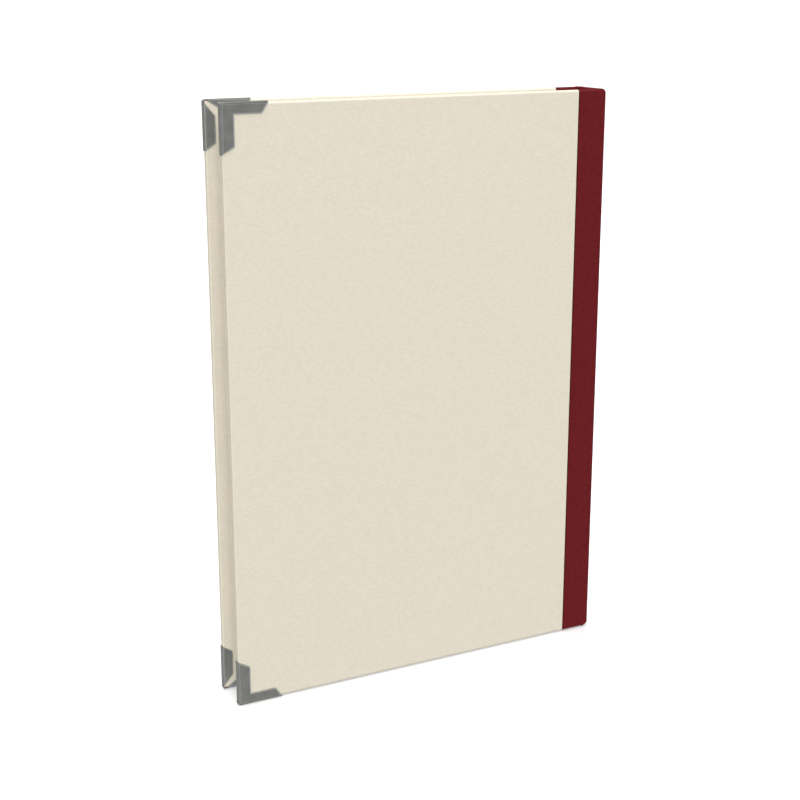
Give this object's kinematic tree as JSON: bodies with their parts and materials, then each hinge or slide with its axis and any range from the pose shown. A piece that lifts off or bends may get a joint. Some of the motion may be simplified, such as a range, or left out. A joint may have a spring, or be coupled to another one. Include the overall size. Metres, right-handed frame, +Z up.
{
  "type": "coin album",
  "caption": "Quarter-bound hardback coin album with metal board corners and hinged leaves that hold coins behind clear pull-out slides.",
  "frame": {"origin": "centre of the closed album's footprint, on the surface it stands on", "axes": "+Z up along the album's height, +X from the fore edge to the spine, +Y from the front cover to the back cover"},
  "size_m": [0.2196, 0.0258, 0.31],
  "materials": {
    "cream_cloth": "fine book cloth",
    "burgundy_cloth": "fine book cloth",
    "grey_board": "pressed board",
    "endpaper": "matte",
    "corner_metal": "satin nickel",
    "nickel_screw": "bright nickel",
    "leaf_core_board": "matte board",
    "facing_card": "matte card",
    "hinge_cloth": "plain weave",
    "clear_slide": "clear"
  },
  "bodies": {
    "spine": {"spine_board": "grey_board", "spine_cloth": "burgundy_cloth", "spine_lining": "endpaper", "front_guard": "grey_board", "front_inner_guard": "grey_board", "back_inner_guard": "grey_board", "back_guard": "grey_board", "binding_posts": "nickel_screw", "binding_screws": "nickel_screw", "leaf_1_stub": "hinge_cloth", "leaf_2_stub": "hinge_cloth", "leaf_3_stub": "hinge_cloth"},
    "front_cover": {"front_board": "grey_board", "front_cloth": "cream_cloth", "front_spine_strip": "burgundy_cloth", "front_infill": "grey_board", "front_endpaper": "endpaper", "front_top_corner": "corner_metal", "front_bottom_corner": "corner_metal"},
    "back_cover": {"back_board": "grey_board", "back_cloth": "cream_cloth", "back_spine_strip": "burgundy_cloth", "back_infill": "grey_board", "back_endpaper": "endpaper", "back_top_corner": "corner_metal", "back_bottom_corner": "corner_metal"},
    "leaf_1": {"leaf_1_core": "leaf_core_board", "leaf_1_front_facing": "facing_card", "leaf_1_back_facing": "facing_card", "leaf_1_spacers": "leaf_core_board", "leaf_1_hinge": "hinge_cloth"},
    "leaf_2": {"leaf_2_core": "leaf_core_board", "leaf_2_front_facing": "facing_card", "leaf_2_back_facing": "facing_card", "leaf_2_spacers": "leaf_core_board", "leaf_2_hinge": "hinge_cloth"},
    "leaf_3": {"leaf_3_core": "leaf_core_board", "leaf_3_front_facing": "facing_card", "leaf_3_back_facing": "facing_card", "leaf_3_spacers": "leaf_core_board", "leaf_3_hinge": "hinge_cloth"},
    "leaf_1_front_slide_bottom": {"leaf_1_front_slide_bottom": "clear_slide"},
    "leaf_1_front_slide_middle": {"leaf_1_front_slide_middle": "clear_slide"},
    "leaf_1_front_slide_top": {"leaf_1_front_slide_top": "clear_slide"},
    "leaf_1_back_slide_bottom": {"leaf_1_back_slide_bottom": "clear_slide"},
    "leaf_1_back_slide_middle": {"leaf_1_back_slide_middle": "clear_slide"},
    "leaf_1_back_slide_top": {"leaf_1_back_slide_top": "clear_slide"},
    "leaf_2_front_slide_bottom": {"leaf_2_front_slide_bottom": "clear_slide"},
    "leaf_2_front_slide_middle": {"leaf_2_front_slide_middle": "clear_slide"},
    "leaf_2_front_slide_top": {"leaf_2_front_slide_top": "clear_slide"},
    "leaf_2_back_slide_bottom": {"leaf_2_back_slide_bottom": "clear_slide"},
    "leaf_2_back_slide_middle": {"leaf_2_back_slide_middle": "clear_slide"},
    "leaf_2_back_slide_top": {"leaf_2_back_slide_top": "clear_slide"},
    "leaf_3_front_slide_bottom": {"leaf_3_front_slide_bottom": "clear_slide"},
    "leaf_3_front_slide_middle": {"leaf_3_front_slide_middle": "clear_slide"},
    "leaf_3_front_slide_top": {"leaf_3_front_slide_top": "clear_slide"},
    "leaf_3_back_slide_bottom": {"leaf_3_back_slide_bottom": "clear_slide"},
    "leaf_3_back_slide_middle": {"leaf_3_back_slide_middle": "clear_slide"},
    "leaf_3_back_slide_top": {"leaf_3_back_slide_top": "clear_slide"}
  },
  "joints": [
    {"name": "front_cover_hinge", "type": "hinge", "parent": "spine", "child": "front_cover", "pos_m": [0.10635, -0.01225, 0.155], "axis": [0, 0, 1], "range_deg": [0, 110]},
    {"name": "back_cover_hinge", "type": "hinge", "parent": "spine", "child": "back_cover", "pos_m": [0.10635, 0.01225, 0.155], "axis": [0, 0, -1], "range_deg": [0, 110]},
    {"name": "leaf_1_hinge_turn", "type": "hinge", "parent": "spine", "child": "leaf_1", "pos_m": [0.088, -0.006, 0.155], "axis": [0, 0, 1], "range_deg": [0, 82.5]},
    {"name": "leaf_2_hinge_turn", "type": "hinge", "parent": "spine", "child": "leaf_2", "pos_m": [0.088, 0, 0.155], "axis": [0, 0, 1], "range_deg": [0, 55]},
    {"name": "leaf_3_hinge_turn", "type": "hinge", "parent": "spine", "child": "leaf_3", "pos_m": [0.088, 0.006, 0.155], "axis": [0, 0, 1], "range_deg": [0, 27.5]},
    {"name": "leaf_1_front_slide_bottom_pull", "type": "slide", "parent": "leaf_1", "child": "leaf_1_front_slide_bottom", "axis": [-1, 0, 0], "range_m": [0, 0.15]},
    {"name": "leaf_1_front_slide_middle_pull", "type": "slide", "parent": "leaf_1", "child": "leaf_1_front_slide_middle", "axis": [-1, 0, 0], "range_m": [0, 0.15]},
    {"name": "leaf_1_front_slide_top_pull", "type": "slide", "parent": "leaf_1", "child": "leaf_1_front_slide_top", "axis": [-1, 0, 0], "range_m": [0, 0.15]},
    {"name": "leaf_1_back_slide_bottom_pull", "type": "slide", "parent": "leaf_1", "child": "leaf_1_back_slide_bottom", "axis": [-1, 0, 0], "range_m": [0, 0.15]},
    {"name": "leaf_1_back_slide_middle_pull", "type": "slide", "parent": "leaf_1", "child": "leaf_1_back_slide_middle", "axis": [-1, 0, 0], "range_m": [0, 0.15]},
    {"name": "leaf_1_back_slide_top_pull", "type": "slide", "parent": "leaf_1", "child": "leaf_1_back_slide_top", "axis": [-1, 0, 0], "range_m": [0, 0.15]},
    {"name": "leaf_2_front_slide_bottom_pull", "type": "slide", "parent": "leaf_2", "child": "leaf_2_front_slide_bottom", "axis": [-1, 0, 0], "range_m": [0, 0.15]},
    {"name": "leaf_2_front_slide_middle_pull", "type": "slide", "parent": "leaf_2", "child": "leaf_2_front_slide_middle", "axis": [-1, 0, 0], "range_m": [0, 0.15]},
    {"name": "leaf_2_front_slide_top_pull", "type": "slide", "parent": "leaf_2", "child": "leaf_2_front_slide_top", "axis": [-1, 0, 0], "range_m": [0, 0.15]},
    {"name": "leaf_2_back_slide_bottom_pull", "type": "slide", "parent": "leaf_2", "child": "leaf_2_back_slide_bottom", "axis": [-1, 0, 0], "range_m": [0, 0.15]},
    {"name": "leaf_2_back_slide_middle_pull", "type": "slide", "parent": "leaf_2", "child": "leaf_2_back_slide_middle", "axis": [-1, 0, 0], "range_m": [0, 0.15]},
    {"name": "leaf_2_back_slide_top_pull", "type": "slide", "parent": "leaf_2", "child": "leaf_2_back_slide_top", "axis": [-1, 0, 0], "range_m": [0, 0.15]},
    {"name": "leaf_3_front_slide_bottom_pull", "type": "slide", "parent": "leaf_3", "child": "leaf_3_front_slide_bottom", "axis": [-1, 0, 0], "range_m": [0, 0.15]},
    {"name": "leaf_3_front_slide_middle_pull", "type": "slide", "parent": "leaf_3", "child": "leaf_3_front_slide_middle", "axis": [-1, 0, 0], "range_m": [0, 0.15]},
    {"name": "leaf_3_front_slide_top_pull", "type": "slide", "parent": "leaf_3", "child": "leaf_3_front_slide_top", "axis": [-1, 0, 0], "range_m": [0, 0.15]},
    {"name": "leaf_3_back_slide_bottom_pull", "type": "slide", "parent": "leaf_3", "child": "leaf_3_back_slide_bottom", "axis": [-1, 0, 0], "range_m": [0, 0.15]},
    {"name": "leaf_3_back_slide_middle_pull", "type": "slide", "parent": "leaf_3", "child": "leaf_3_back_slide_middle", "axis": [-1, 0, 0], "range_m": [0, 0.15]},
    {"name": "leaf_3_back_slide_top_pull", "type": "slide", "parent": "leaf_3", "child": "leaf_3_back_slide_top", "axis": [-1, 0, 0], "range_m": [0, 0.15]}
  ],
  "couplings": [
    {"joint": "leaf_1_hinge_turn", "follows": "front_cover_hinge", "ratio": 0.75},
    {"joint": "leaf_2_hinge_turn", "follows": "front_cover_hinge", "ratio": 0.5},
    {"joint": "leaf_3_hinge_turn", "follows": "front_cover_hinge", "ratio": 0.25}
  ]
}
